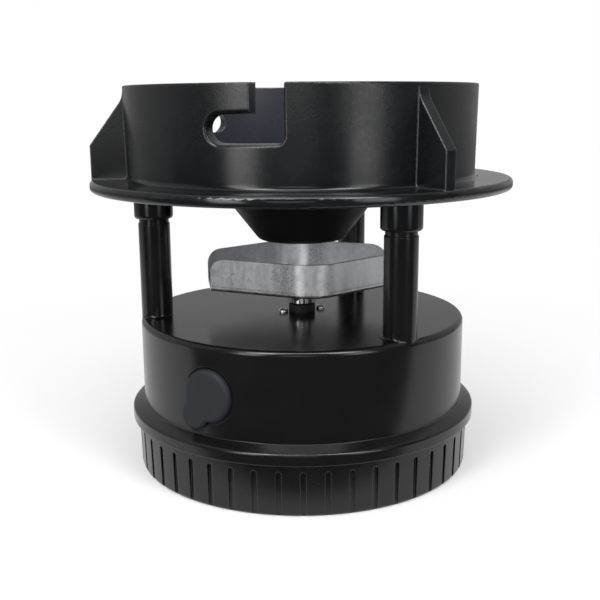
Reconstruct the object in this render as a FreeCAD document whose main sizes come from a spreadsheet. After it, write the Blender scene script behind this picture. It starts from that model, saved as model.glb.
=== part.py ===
"""Spin cast feeder: a hopper collar, funnel and motor-driven spinner over a battery and timer housing.

Millimetres. +Z is up, the origin is the centre of the bottom cover's underside, and -Y is the front.
Angles round the axis are counted from the front (-Y) towards +X.
"""
import FreeCAD, Part
import os
import re

import Sketcher
from FreeCAD import Placement, Rotation, Vector
from math import atan2, cos, degrees, hypot, pi, radians, sin, tan

doc = FreeCAD.newDocument("spin_cast_feeder")

# Driving sizes. Levels are heights above the surface that the feeder stands on.
SIZES = (
    # Stack of the housing
    ("cover_rim_level", 30.2), ("cover_gap", 0.3), ("spigot_level", 13.0), ("roof_level", 91.0),
    ("flange_level", 168.0), ("rim_level", 227.5),
    # Hopper collar
    ("collar_foot_radius", 103.1), ("collar_rim_radius", 104.0), ("collar_bore_radius", 96.0),
    ("collar_core_radius", 98.5), ("flange_radius", 125.0), ("flange_thickness", 6.3),
    ("flange_edge_round", 2.4), ("rim_edge_round", 0.9), ("throat_radius", 46.0), ("throat_rise", 2.0),
    ("bowl_rise", 19.0), ("floor_thickness", 4.2), ("funnel_pad_radius", 64.0),
    ("gusset_thickness", 7.0), ("gusset_reach", 124.0), ("gusset_shoulder_level", 194.0),
    ("gusset_top_level", 221.0), ("gusset_count", 3), ("gusset_blend", 4.0),
    ("gusset_edge_round", 0.8), ("collar_foot_round", 2.5),
    # Bayonet slots in the collar
    ("slot_turn", -16.0), ("slot_count", 3), ("slot_right", 20.9), ("slot_left", 20.7),
    ("tongue_right", 3.45), ("slot_floor_level", 196.8), ("slot_arm_height", 16.2), ("tongue_rise", 0.4),
    ("slot_corner_round", 5.0), ("slot_draft", 7.0), ("slot_edge_round", 1.4),
    # Legs and their sockets
    ("leg_count", 3), ("leg_turn", 36.9), ("leg_circle_radius", 89.0), ("leg_radius", 9.4),
    ("leg_shoulder_level", 148.0), ("leg_neck_radius", 8.8), ("leg_top_level", 176.0),
    ("leg_core_radius", 6.0), ("leg_core_level", 156.0), ("leg_foot_round", 1.5),
    ("socket_radius", 11.5), ("socket_level", 150.4), ("socket_edge_round", 1.8), ("socket_clearance", 0.1),
    ("leg_screw_radius", 2.0), ("leg_screw_head_radius", 4.2), ("leg_screw_head_height", 2.6),
    ("leg_seat_level", 180.0), ("leg_screw_length", 18.0), ("screw_clearance", 0.2),
    # Funnel
    ("funnel_flange_radius", 62.0), ("funnel_flange_thickness", 3.0), ("funnel_mouth_radius", 46.6),
    ("funnel_neck_radius", 48.15), ("funnel_wall", 3.0), ("funnel_toe_radius", 25.7),
    ("funnel_toe_level", 136.0), ("funnel_outlet_radius", 20.0), ("funnel_toe_round", 5.5),
    ("funnel_screw_count", 4), ("funnel_screw_circle", 56.0), ("funnel_screw_length", 7.0),
    ("funnel_pilot_depth", 4.6),
    # Base housing
    ("drum_radius", 98.7), ("drum_bore_radius", 95.2), ("roof_thickness", 3.0), ("roof_edge_round", 3.0),
    ("skirt_radius", 105.9), ("skirt_top_level", 39.9), ("skirt_drop", 3.1), ("skirt_edge_round", 1.6),
    ("spigot_radius", 97.9), ("shaft_hole_radius", 6.8),
    ("boss_radius", 4.0), ("boss_level", 78.0), ("pilot_depth", 8.0),
    # Small pan head screws of the funnel, strap and timer
    ("small_screw_radius", 1.3), ("small_head_radius", 2.8), ("small_head_height", 1.8),
    # Bottom cover and its seal
    ("cover_radius", 102.5), ("cover_foot_radius", 101.6), ("cover_floor", 3.5), ("cover_clearance", 0.4),
    ("cover_foot_round", 2.2), ("cover_recess_radius", 88.0), ("cover_recess_depth", 1.0),
    ("seal_ledge_radius", 93.8), ("seal_thickness", 2.6), ("seal_inner_radius", 94.8),
    ("groove_count", 48), ("groove_width", 3.2), ("groove_depth", 1.2), ("groove_top_level", 25.8),
    # Motor, shaft and its seal
    ("motor_radius", 17.9), ("motor_can_length", 42.0), ("motor_edge_round", 1.5),
    ("motor_boss_radius", 6.5), ("motor_boss_height", 5.0), ("motor_bore_clearance", 0.05),
    ("end_cap_radius", 17.4), ("end_cap_length", 8.0), ("end_cap_boss_radius", 5.0),
    ("end_cap_boss_length", 2.5), ("terminal_width", 4.8), ("terminal_thickness", 0.8),
    ("terminal_length", 7.0), ("terminal_spread", 11.0),
    ("motor_screw_circle", 12.5), ("motor_screw_turn", 23.0), ("motor_screw_radius", 1.5),
    ("motor_screw_head_radius", 2.8), ("motor_screw_head_height", 2.0), ("motor_screw_length", 6.0),
    ("shaft_radius", 1.6), ("shaft_top_level", 112.0),
    ("cap_radius", 8.2), ("cap_height", 4.8), ("cap_lip_radius", 2.1), ("cap_clearance", 0.15),
    # Spinner and hub
    ("spinner_level", 108.3), ("spinner_height", 19.5), ("spinner_turn", 8.5), ("spinner_half_length", 57.0),
    ("spinner_end_half_width", 16.6), ("spinner_corner_reach", 54.8), ("spinner_gauge", 1.5),
    ("spinner_corner_round", 20.0), ("spinner_bend_round", 2.0), ("spinner_end_round", 8.0),
    ("hub_level", 96.2), ("hub_radius", 8.7), ("hub_collar_height", 8.0), ("hub_neck_radius", 6.5),
    ("hub_spigot_radius", 4.5), ("hub_head_radius", 6.0), ("hub_head_height", 1.6), ("hub_clearance", 0.02),
    ("set_screw_radius", 2.0), ("set_screw_turn", -25.0),
    # Charging port and its plug
    ("port_turn", -31.15), ("port_level", 63.0), ("port_cup_radius", 12.5), ("port_cup_depth", 11.0),
    ("port_mouth_radius", 10.3), ("port_floor_thickness", 3.0), ("port_land_border", 1.3),
    ("port_land_depth", 1.0),
    ("jack_radius", 4.0), ("jack_body_radius", 6.0), ("jack_body_length", 13.0), ("jack_bore_radius", 2.8),
    ("jack_bore_depth", 9.5), ("jack_pin_radius", 1.0), ("nut_across_flats", 10.0), ("nut_thickness", 2.0),
    ("plug_radius", 14.9), ("plug_thickness", 3.6), ("plug_edge_round", 2.8), ("plug_tab_radius", 8.6),
    ("plug_tab_across", 9.0), ("plug_tab_drop", 12.0), ("plug_tab_join", 2.5),
    ("plug_stem_radius", 10.0), ("plug_stem_length", 4.5),
    ("plug_stem_wall", 1.8), ("plug_gap", 0.3),
    # Battery and strap
    ("battery_length", 101.0), ("battery_width", 47.0), ("battery_height", 70.0), ("battery_front", 20.0),
    ("battery_roof_gap", 0.3), ("battery_edge_round", 2.0), ("tab_width", 6.35), ("tab_length", 7.0),
    ("tab_thickness", 0.8), ("tab_spread", 30.0), ("tab_inset", 7.0),
    ("strap_width", 18.0), ("strap_gauge", 1.2), ("strap_foot", 13.0), ("strap_clearance", 0.2),
    ("strap_screw_length", 8.0),
    # Timer
    ("timer_leg_across", 0.9), ("timer_leg_behind", 1.7), ("timer_length", 66.0), ("timer_width", 44.0),
    ("timer_height", 34.0), ("timer_wall", 2.0), ("timer_edge_round", 1.5), ("timer_post_radius", 3.6),
    ("timer_post_inset", 6.2), ("timer_post_step", 1.2), ("timer_boss_length", 8.0),
    ("board_gap", 4.0), ("board_thickness", 1.6), ("board_clearance", 0.4), ("window_length", 34.0),
    ("window_width", 14.0), ("window_inset", 6.0), ("display_clearance", 0.2), ("button_count", 4),
    ("button_radius", 3.0), ("button_tip_round", 0.5), ("button_clearance", 0.2),
    ("button_flange_radius", 3.8), ("button_flange_thickness", 1.0), ("button_proud", 1.2),
    ("button_pitch", 11.0), ("button_row", 12.0), ("button_travel", 0.8), ("switch_side", 6.0),
    ("switch_gap", 0.15),
    ("timer_screw_length", 32.0),
)

ALIASES = {alias for alias, number in SIZES}

sheet = doc.addObject("Spreadsheet::Sheet", "Sizes")
for row, (alias, number) in enumerate(SIZES, 1):
    sheet.set(f"A{row}", alias)
    sheet.set(f"B{row}", str(number))
    sheet.setAlias(f"B{row}", alias)
doc.recompute()


def size(alias):
    return float(getattr(sheet, alias))


def bound(expression):
    """The sheet's aliases in an expression, written out with the sheet's name."""
    return re.sub("[a-z_]{3,}", lambda word: "Sizes." * (word[0] in ALIASES) + word[0], expression)


def bind(made, **sizes):
    for prop, expression in sizes.items():
        made.setExpression(prop.replace("__", "."), bound(expression))
    return made


# --- Sketches and features of a body ---

def new_body(label):
    made = doc.addObject("PartDesign::Body", label)
    made.Label = label
    return made


def new_sketch(owner, role="XZ_Plane", turn=None, out=None, lift=None):
    """A sketch on the owner's origin plane, turned round Z to an angle or lifted to a level.

    The turned plane stands `out` from the axis and faces away from it.
    """
    made = owner.newObject("Sketcher::SketchObject", "Sketch")
    made.AttachmentSupport = (next(f for f in owner.Origin.OriginFeatures if f.Role == role), [""])
    made.MapMode = "FlatFace"
    if turn:
        made.AttachmentOffset = Placement(Vector(), Rotation(Vector(0, 1, 0), 0))
        bind(made, AttachmentOffset__Rotation__Angle=turn)
    if out:
        around = turn or "0"
        made.setExpression("AttachmentOffset.Base.x", bound(f"( {out} ) * sin( {around} )"))
        made.setExpression("AttachmentOffset.Base.z", bound(f"( {out} ) * cos( {around} )"))
    if lift:
        made.setExpression("AttachmentOffset.Base.z", bound(lift))
    return made


def pin(sketch, geometry, point, place, seed):
    """Ties a point of the sketch to its two coordinates."""
    for kind, expression, start in zip(("DistanceX", "DistanceY"), place, seed):
        number = sketch.addConstraint(Sketcher.Constraint(kind, -1, 1, geometry, point, start))
        sketch.setExpression(f"Constraints[{number}]", bound(expression))


def outline(sketch, corners):
    """A closed outline of straight sides through the named corners."""
    count = len(corners)
    seeds = [Vector(cos(2 * pi * i / count), sin(2 * pi * i / count)) * 50 for i in range(count)]
    first = sketch.GeometryCount
    for i in range(count):
        sketch.addGeometry(Part.LineSegment(seeds[i], seeds[(i + 1) % count]), False)
    for i in range(count):
        following = first + (i + 1) % count
        sketch.addConstraint(Sketcher.Constraint("Coincident", first + i, 2, following, 1))
    for i, place in enumerate(corners):
        pin(sketch, first + i, 1, place, (seeds[i].x, seeds[i].y))
    return sketch


def bent_outline(sketch, corners, bends):
    """A closed outline through corners, each a seed point and its two expressions.

    `bends` gives, for a corner's number, the centre and the radius of the arc that runs from it,
    counter-clockwise, to the next corner. The other sides are straight.
    """
    seeds = [Vector(*seed) for seed, place in corners]
    for i, (start, end) in enumerate(zip(seeds, seeds[1:] + seeds[:1])):
        side = Part.LineSegment(start, end)
        if i in bends:
            centre = Vector(*bends[i][0])
            first, last = [atan2(point.y - centre.y, point.x - centre.x) for point in (start, end)]
            whole = Part.Circle(centre, Vector(0, 0, 1), (start - centre).Length)
            side = Part.ArcOfCircle(whole, first, last)
        sketch.addGeometry(side, False)
    for i in range(len(corners)):
        sketch.addConstraint(Sketcher.Constraint("Coincident", i, 2, (i + 1) % len(corners), 1))
    for i, (seed, place) in enumerate(corners):
        pin(sketch, i, 1, place, seed)
    for i, (centre, radius) in bends.items():
        start = (seeds[i] - Vector(*centre)).Length
        number = sketch.addConstraint(Sketcher.Constraint("Radius", i, start))
        sketch.setExpression(f"Constraints[{number}]", bound(radius))
    return sketch


def circle(sketch, place, radius):
    number = sketch.addGeometry(Part.Circle(Vector(50, 50), Vector(0, 0, 1), 5), False)
    pin(sketch, number, 3, place, (50, 50))
    size_of = sketch.addConstraint(Sketcher.Constraint("Radius", number, 5))
    sketch.setExpression(f"Constraints[{size_of}]", bound(radius))
    return sketch


def revolve(owner, sketch, kind="Revolution"):
    made = owner.newObject(f"PartDesign::{kind}", kind)
    made.Profile = sketch
    made.ReferenceAxis = (sketch, ["V_Axis"])
    made.Angle = 360
    return made


def extrude(owner, sketch, length, kind="Pad", reverse=False, both_ways=False, taper="0"):
    made = owner.newObject(f"PartDesign::{kind}", kind)
    made.Profile = sketch
    made.Reversed = reverse
    made.Midplane = both_ways
    return bind(made, Length=length, TaperAngle=taper)


def repeat(owner, features, count):
    """The features again, evenly spaced round the owner's vertical axis."""
    made = owner.newObject("PartDesign::PolarPattern", "PolarPattern")
    made.Originals = features
    made.Axis = (next(f for f in owner.Origin.OriginFeatures if f.Role == "Z_Axis"), [""])
    made.Angle = 360
    bind(made, Occurrences=count)
    owner.Tip = made
    return made


def soften(owner, feature, wanted, radius, kind="Fillet"):
    """Rounds or chamfers the edges of the feature that `wanted` picks."""
    doc.recompute()
    names = [f"Edge{i}" for i, edge in enumerate(feature.Shape.Edges, 1) if wanted(edge)]
    made = owner.newObject(f"PartDesign::{kind}", kind)
    made.Base = (feature, names)
    bind(made, **{"Radius" if kind == "Fillet" else "Size": radius})
    owner.Tip = made
    return made


def ring(radius, level):
    """Picks a horizontal circular edge of this radius at this level."""
    def wanted(edge):
        curve = edge.Curve
        if curve.TypeId != "Part::GeomCircle":
            return False
        return abs(curve.Radius - radius) < 0.02 and abs(curve.Center.z - level) < 0.02
    return wanted


def roof_under():
    """Level of the underside of the housing's roof."""
    return size("roof_level") - size("roof_thickness")


def around(turn, radius, level=0.0):
    """The point at an angle from the front, a radius and a level."""
    return Vector(radius * sin(radians(turn)), -radius * cos(radians(turn)), level)


def compound(label, solids):
    """Several separate solids of one node."""
    made = doc.addObject("Part::Feature", label)
    made.Shape = Part.makeCompound(solids)
    made.Placement = Placement()
    return made


def screw(seat, toward, head_radius, head_height, shank_radius, length):
    """A pan head screw: the head stands on the seat, the shank goes down toward the thread."""
    head = Part.makeCylinder(head_radius, head_height, seat, toward * -1)
    top = [edge for edge in head.Edges if abs((edge.CenterOfMass - seat).dot(toward) + head_height) < 1e-6]
    head = head.makeFillet(head_height * 0.4, top)
    return head.fuse(Part.makeCylinder(shank_radius, length, seat, toward)).removeSplitter()


def small_screw(seat, length):
    """A small pan head screw driven upwards."""
    return screw(seat, UP, size("small_head_radius"), size("small_head_height"), size("small_screw_radius"),
                 length)


UP = Vector(0, 0, 1)
DOWN = Vector(0, 0, -1)
SPIGOT_TOP = "cover_rim_level + cover_gap"
ROOF_UNDER = "roof_level - roof_thickness"
LEG_X = "leg_circle_radius * sin( leg_turn )"
LEG_Y = "- leg_circle_radius * cos( leg_turn )"


def gusset_outline(sketch):
    """A gusset from the flange up a slope that bends into the wall."""
    run, fall = "( gusset_reach - collar_rim_radius )", "( gusset_top_level - gusset_shoulder_level )"
    wide, high = size("gusset_reach") - size("collar_rim_radius"), size("gusset_top_level") - size(
        "gusset_shoulder_level")
    steep, blend = hypot(wide, high), size("gusset_blend")
    wall, top = size("collar_rim_radius"), size("gusset_top_level")
    share = f"gusset_blend / sqrt( {run} ^ 2 + {fall} ^ 2 )"
    inside, foot = "( collar_rim_radius + collar_bore_radius ) / 2", "flange_level + flange_thickness / 2"
    root = (wall + size("collar_bore_radius")) / 2
    base = size("flange_level") + size("flange_thickness") / 2
    bend = blend / tan(atan2(wide, high) / 2)
    return bent_outline(sketch, (
        ((root, top + blend), (inside, "gusset_top_level + gusset_blend")),
        ((wall, top + blend), ("collar_rim_radius", "gusset_top_level + gusset_blend")),
        ((wall + blend * wide / steep, top - blend * high / steep),
         (f"collar_rim_radius + {run} * {share}", f"gusset_top_level - {fall} * {share}")),
        ((wall + wide, top - high), ("gusset_reach", "gusset_shoulder_level")),
        ((wall + wide, base), ("gusset_reach", foot)),
        ((root, base), (inside, foot))), {
            1: ((wall + bend, top + blend), f"gusset_blend / tan( atan( {run} / {fall} ) / 2 )")})


def slot_outline(sketch):
    """A slot: an entry from the rim, and an arm that runs left under a tongue to a round end."""
    bend, corner_round = size("slot_arm_height") / 2, size("slot_corner_round")
    right, tongue, left = size("slot_right"), size("tongue_right"), -size("slot_left")
    low = size("slot_floor_level")
    top, above = low + 2 * bend, size("rim_level") + bend
    rise = size("tongue_rise")
    floor, half, open_end = "slot_floor_level", "slot_arm_height / 2", "rim_level + slot_arm_height / 2"
    return bent_outline(sketch, (
        ((left + bend, low), (f"{half} - slot_left", floor)),
        ((right - corner_round, low), ("slot_right - slot_corner_round", floor)),
        ((right, low + corner_round), ("slot_right", f"{floor} + slot_corner_round")),
        ((right, above), ("slot_right", open_end)),
        ((tongue, above), ("tongue_right", open_end)),
        ((tongue, top + rise), ("tongue_right", f"{floor} + slot_arm_height + tongue_rise")),
        ((left + bend, top), (f"{half} - slot_left", f"{floor} + slot_arm_height")),
        ((left, low + bend), ("- slot_left", f"{floor} + {half}"))), {
            1: ((right - corner_round, low + corner_round), "slot_corner_round"),
            6: ((left + bend, low + bend), half), 7: ((left + bend, low + bend), half)})


def slot_edge(edge):
    """Picks the edges round a slot on the outside of the collar, apart from the tongue's."""
    span = edge.LastParameter - edge.FirstParameter
    points = [edge.valueAt(edge.FirstParameter + span * share) for share in (0.1, 0.5, 0.9)]
    if any(hypot(point.x, point.y) < size("collar_foot_radius") for point in points):
        return False
    level = edge.CenterOfMass.z
    pitch = 360 / size("slot_count")
    turn = degrees(atan2(points[1].x, -points[1].y)) - size("slot_turn")
    beside = (turn + pitch / 2) % pitch - pitch / 2
    below_rim = level < size("rim_level") - 2 * size("rim_edge_round")
    under_tongue = level < size("slot_floor_level") + size("slot_arm_height")
    right = degrees(size("slot_right") / size("collar_rim_radius"))
    return abs(beside) < 1.2 * right and below_rim and (under_tongue or beside > right / 2)


def make_hopper_collar():
    """Collar that holds the hopper: bowl floor, flange, gussets, sockets and three bayonet slots."""
    body = new_body("hopper_collar")
    slope = "bowl_rise / ( collar_bore_radius - throat_radius )"
    under = f"flange_level + throat_rise + ( {slope} ) * "
    shell = revolve(body, outline(new_sketch(body), (
        ("throat_radius", "flange_level"), ("funnel_pad_radius", "flange_level"),
        ("funnel_pad_radius", f"{under} ( funnel_pad_radius - throat_radius ) - floor_thickness"),
        ("collar_core_radius", f"{under} ( collar_core_radius - throat_radius ) - floor_thickness"),
        ("collar_core_radius", "flange_level"), ("flange_radius", "flange_level"),
        ("flange_radius", "flange_level + flange_thickness"),
        ("collar_foot_radius", "flange_level + flange_thickness"), ("collar_rim_radius", "rim_level"),
        ("collar_bore_radius", "rim_level"),
        ("collar_bore_radius", "flange_level + throat_rise + bowl_rise"),
        ("throat_radius", "flange_level + throat_rise"))))
    flange_top = size("flange_level") + size("flange_thickness")
    edge = ring(size("flange_radius"), flange_top)
    lower_edge = ring(size("flange_radius"), size("flange_level"))
    shell = soften(body, shell, lambda e: edge(e) or lower_edge(e), "flange_edge_round")
    foot = ring(size("collar_foot_radius"), flange_top)
    rim = ring(size("collar_rim_radius"), size("rim_level"))
    shell = soften(body, shell, rim, "rim_edge_round")
    shell = soften(body, shell, foot, "collar_foot_round")

    sockets = extrude(body, circle(new_sketch(body, "XY_Plane", lift="socket_level"), (LEG_X, LEG_Y),
                                   "socket_radius"), "gusset_shoulder_level - socket_level")
    repeat(body, [sockets], "leg_count")
    mouth = ring(size("socket_radius"), size("socket_level"))
    soften(body, body.Tip, mouth, "socket_edge_round")
    gusset = extrude(body, gusset_outline(new_sketch(body, turn="leg_turn - 90")), "gusset_thickness",
                     both_ways=True)
    repeat(body, [gusset], "gusset_count")
    revolve(body, outline(new_sketch(body), (
        ("0", "socket_level"), ("throat_radius", "socket_level"),
        ("throat_radius", "flange_level + throat_rise"),
        ("collar_bore_radius", "flange_level + throat_rise + bowl_rise"),
        ("collar_bore_radius", "rim_level + 1"), ("0", "rim_level + 1"))), "Groove")

    def leg_cut(level, radius, depth):
        sketch = circle(new_sketch(body, "XY_Plane", lift=level), (LEG_X, LEG_Y), radius)
        return extrude(body, sketch, depth, "Pocket", reverse=True)
    cuts = [leg_cut("socket_level - 1", "leg_neck_radius + socket_clearance",
                    "leg_top_level - socket_level + 1"),
            leg_cut("socket_level", "leg_screw_radius + screw_clearance", "leg_seat_level - socket_level"),
            leg_cut("leg_seat_level", "leg_screw_head_radius + screw_clearance",
                    "rim_level - leg_seat_level")]
    repeat(body, cuts, "leg_count")
    pilot = extrude(body, circle(new_sketch(body, "XY_Plane", lift="flange_level - 1"),
                                 ("funnel_screw_circle", "0"), "small_screw_radius"),
                    "funnel_pilot_depth + 1", "Pocket", reverse=True)
    repeat(body, [pilot], "funnel_screw_count")

    face = new_sketch(body, turn="slot_turn", out="collar_rim_radius")
    slot = extrude(body, slot_outline(face), "2 * ( collar_rim_radius - collar_bore_radius )", "Pocket",
                   taper="- slot_draft")
    repeat(body, [slot], "slot_count")
    soften(body, body.Tip, slot_edge, "slot_edge_round")
    return body


def make_funnel():
    """Feed funnel with a flat toe round its outlet, screwed under the collar's floor."""
    body = new_body("funnel")
    fall = "flange_level - funnel_flange_thickness - funnel_toe_level"
    run = f"( funnel_neck_radius - funnel_toe_radius ) / ( {fall} )"
    inner = f"funnel_toe_radius + funnel_wall * ( {run} ) - funnel_wall * 1.26"
    revolve(body, outline(new_sketch(body), (
        ("funnel_outlet_radius", "funnel_toe_level"), ("funnel_toe_radius", "funnel_toe_level"),
        ("funnel_neck_radius", "flange_level - funnel_flange_thickness"),
        ("funnel_flange_radius", "flange_level - funnel_flange_thickness"),
        ("funnel_flange_radius", "flange_level"), ("funnel_mouth_radius", "flange_level"),
        (inner, "funnel_toe_level + funnel_wall"),
        ("funnel_outlet_radius", "funnel_toe_level + funnel_wall"))))
    soften(body, body.Tip, ring(size("funnel_toe_radius"), size("funnel_toe_level")), "funnel_toe_round")
    hole = extrude(body, circle(new_sketch(body, "XY_Plane", lift="flange_level - 10"),
                                ("funnel_screw_circle", "0"), "small_screw_radius + screw_clearance"),
                   "12", "Pocket", reverse=True)
    repeat(body, [hole], "funnel_screw_count")
    return body


def make_base_housing():
    """Drum with a lid-side spigot and skirt, and three cored legs moulded in one with it."""
    body = new_body("base_housing")
    drum = revolve(body, outline(new_sketch(body), (
        ("shaft_hole_radius", ROOF_UNDER), ("shaft_hole_radius", "roof_level"),
        ("drum_radius", "roof_level"), ("drum_radius", "skirt_top_level"),
        ("skirt_radius", "skirt_top_level - skirt_drop"), ("skirt_radius", SPIGOT_TOP),
        ("spigot_radius", SPIGOT_TOP), ("spigot_radius", "spigot_level"),
        ("drum_bore_radius", "spigot_level"), ("drum_bore_radius", ROOF_UNDER))))
    top = ring(size("drum_radius"), size("roof_level"))
    soften(body, drum, top, "roof_edge_round")
    skirt = ring(size("skirt_radius"), size("skirt_top_level") - size("skirt_drop"))
    soften(body, body.Tip, skirt, "skirt_edge_round")

    def column(level, radius, top_level, kind="Pad"):
        sketch = circle(new_sketch(body, "XY_Plane", lift=level), (LEG_X, LEG_Y), radius)
        return extrude(body, sketch, f"{top_level} - ( {level} )", kind, reverse=kind == "Pocket")
    leg = column(ROOF_UNDER, "leg_radius", "leg_shoulder_level")
    neck = column("leg_shoulder_level", "leg_neck_radius", "leg_top_level")
    repeat(body, [leg, neck], "leg_count")

    def leg_foot(edge):
        middle = edge.valueAt((edge.FirstParameter + edge.LastParameter) / 2)
        roof = size("roof_level")
        centres = [around(size("leg_turn") + 360 * i / size("leg_count"), size("leg_circle_radius"), middle.z)
                   for i in range(int(size("leg_count")))]
        on_leg = min(abs((middle - centre).Length - size("leg_radius")) for centre in centres) < 0.01
        return on_leg and roof - size("roof_edge_round") < middle.z < roof + 1
    soften(body, body.Tip, leg_foot, "leg_foot_round")
    shoulder = ring(size("leg_radius"), size("leg_shoulder_level"))
    soften(body, body.Tip, shoulder, "leg_radius - leg_neck_radius - 0.1", "Chamfer")
    core = column(f"{ROOF_UNDER} - 1", "leg_core_radius", "leg_core_level", "Pocket")
    hole = column("leg_core_level - 1", "leg_screw_radius", "leg_top_level + 1", "Pocket")
    repeat(body, [core, hole], "leg_count")

    # Motor screw holes through the roof
    turn = "motor_screw_turn"
    sketch = new_sketch(body, "XY_Plane", lift=f"{ROOF_UNDER} - 1")
    for sign in ("", "- "):
        place = [f"{sign} motor_screw_circle * {axis}( {turn} )" for axis in ("cos", "sin")]
        circle(sketch, place, "motor_screw_radius + screw_clearance")
    extrude(body, sketch, "roof_thickness + 2", "Pocket", reverse=True)

    # Bosses under the roof for the battery strap and the timer
    strap_feet = [(f"{sign} ( {STRAP_SCREW_X} )", STRAP_Y) for sign in ("", "- ")]
    roof_bosses(body, strap_feet, "boss_level", "boss_radius")
    roof_bosses(body, TIMER_CORNERS, f"{ROOF_UNDER} - timer_boss_length", "timer_post_radius")

    # Cup of the charging port, moulded inwards from the wall
    outside = "drum_bore_radius - port_cup_depth"
    extrude(body, circle(new_sketch(body, turn="port_turn", out=outside), ("0", "port_level"),
                         "port_cup_radius"), "port_cup_depth + 1")
    extrude(body, circle(new_sketch(body, turn="port_turn", out=f"{outside} + port_floor_thickness"),
                         ("0", "port_level"), "port_mouth_radius"), "40", "Pocket", reverse=True)
    extrude(body, circle(new_sketch(body, turn="port_turn", out=f"{outside} - 1"), ("0", "port_level"),
                         "jack_radius + screw_clearance"), "10", "Pocket", reverse=True)
    # Flat lands that the plug's flange and its tab seat on
    for place, radius in ((("0", "port_level"), "plug_radius"),
                          (("- plug_tab_across", "port_level - plug_tab_drop"), "plug_tab_radius")):
        land = new_sketch(body, turn="port_turn", out="drum_radius - port_land_depth")
        extrude(body, circle(land, place, f"{radius} + port_land_border"), "port_cup_depth", "Pocket",
                reverse=True)
    return body


def roof_bosses(body, places, level, radius):
    """Bosses that hang from the roof to a level, each with a blind pilot hole."""
    for wide, low, length, kind in ((radius, level, f"roof_level - ( {level} ) - 1", "Pad"),
                                    ("small_screw_radius", f"{level} - 1", "pilot_depth + 1", "Pocket")):
        sketch = new_sketch(body, "XY_Plane", lift=low)
        for place in places:
            circle(sketch, place, wide)
        extrude(body, sketch, length, kind, reverse=kind == "Pocket")


STRAP_X = "battery_length / 2 + strap_clearance + strap_gauge"
STRAP_SCREW_X = f"{STRAP_X} + strap_foot / 2"
STRAP_Y = "battery_front + battery_width / 2"
TIMER_RIGHT = f"{LEG_X} - timer_leg_across"
TIMER_FRONT = f"{LEG_Y} + timer_leg_behind"
TIMER_CORNERS = [(x, y) for x in (f"{TIMER_RIGHT} - timer_length + timer_post_inset",
                                  f"{TIMER_RIGHT} - timer_post_inset")
                 for y in (f"{TIMER_FRONT} + timer_post_inset",
                           f"{TIMER_FRONT} + timer_width - timer_post_inset")]


def make_bottom_cover():
    """Screw-on cover: a ribbed cap with a ledge inside that carries the seal."""
    body = new_body("bottom_cover")
    bore = "spigot_radius + cover_clearance"
    ledge = "spigot_level - seal_thickness"
    shell = revolve(body, outline(new_sketch(body), (
        ("0", "cover_recess_depth"), ("cover_recess_radius", "cover_recess_depth"),
        ("cover_recess_radius", "0"), ("cover_foot_radius", "0"), ("cover_radius", "cover_rim_level"),
        (bore, "cover_rim_level"), (bore, ledge), ("seal_ledge_radius", ledge),
        ("seal_ledge_radius", "cover_floor"), ("0", "cover_floor"))))
    soften(body, shell, ring(size("cover_foot_radius"), 0), "cover_foot_round")
    depth = "cover_foot_radius - groove_depth"
    half = "groove_width / 2"
    straight = extrude(body, outline(new_sketch(body, out=depth), (
        (f"- {half}", "- 1"), (half, "- 1"), (half, f"groove_top_level - {half}"),
        (f"- {half}", f"groove_top_level - {half}"))), "20", "Pocket", reverse=True)
    tip = extrude(body, circle(new_sketch(body, out=depth), ("0", f"groove_top_level - {half}"), half),
                  "20", "Pocket", reverse=True)
    repeat(body, [straight, tip], "groove_count")
    return body


def make_cover_seal():
    body = new_body("cover_seal")
    ledge = "spigot_level - seal_thickness"
    revolve(body, outline(new_sketch(body), (
        ("seal_inner_radius", ledge), ("spigot_radius", ledge), ("spigot_radius", "spigot_level"),
        ("seal_inner_radius", "spigot_level"))))
    return body


MOTOR_FLOOR = f"{ROOF_UNDER} - motor_can_length"
SHAFT_BORE = "shaft_radius + motor_bore_clearance"


def make_motor_can():
    """Steel can of the brushed motor, with the bearing boss that passes through the roof."""
    body = new_body("motor_can")
    can = revolve(body, outline(new_sketch(body), (
        (SHAFT_BORE, MOTOR_FLOOR), ("motor_radius", MOTOR_FLOOR), ("motor_radius", ROOF_UNDER),
        ("motor_boss_radius", ROOF_UNDER), ("motor_boss_radius", f"{ROOF_UNDER} + motor_boss_height"),
        (SHAFT_BORE, f"{ROOF_UNDER} + motor_boss_height"))))
    roof = roof_under()
    soften(body, can, ring(size("motor_radius"), roof), "motor_edge_round")
    sketch = new_sketch(body, "XY_Plane", lift=ROOF_UNDER)
    for sign in ("", "- "):
        circle(sketch, (f"{sign} motor_screw_circle * cos( motor_screw_turn )",
                        f"{sign} motor_screw_circle * sin( motor_screw_turn )"), "motor_screw_radius")
    extrude(body, sketch, "motor_screw_length", "Pocket")
    return body


def make_motor_end_cap():
    """Plastic brush cap that closes the can, with the rear bearing boss."""
    body = new_body("motor_end_cap")
    low = f"{MOTOR_FLOOR} - end_cap_length"
    revolve(body, outline(new_sketch(body), (
        (SHAFT_BORE, MOTOR_FLOOR), (SHAFT_BORE, f"{low} - end_cap_boss_length"),
        ("end_cap_boss_radius", f"{low} - end_cap_boss_length"), ("end_cap_boss_radius", low),
        ("end_cap_radius", low), ("end_cap_radius", MOTOR_FLOOR))))
    return body


def make_motor_terminals():
    low = roof_under() - size("motor_can_length") - size("end_cap_length")
    width, thick, length = size("terminal_width"), size("terminal_thickness"), size("terminal_length")
    tabs = [Part.makeBox(thick, width, length, Vector(side * size("terminal_spread") - thick / 2, -width / 2,
                                                      low - length)) for side in (-1, 1)]
    return compound("motor_terminals", tabs)


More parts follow.
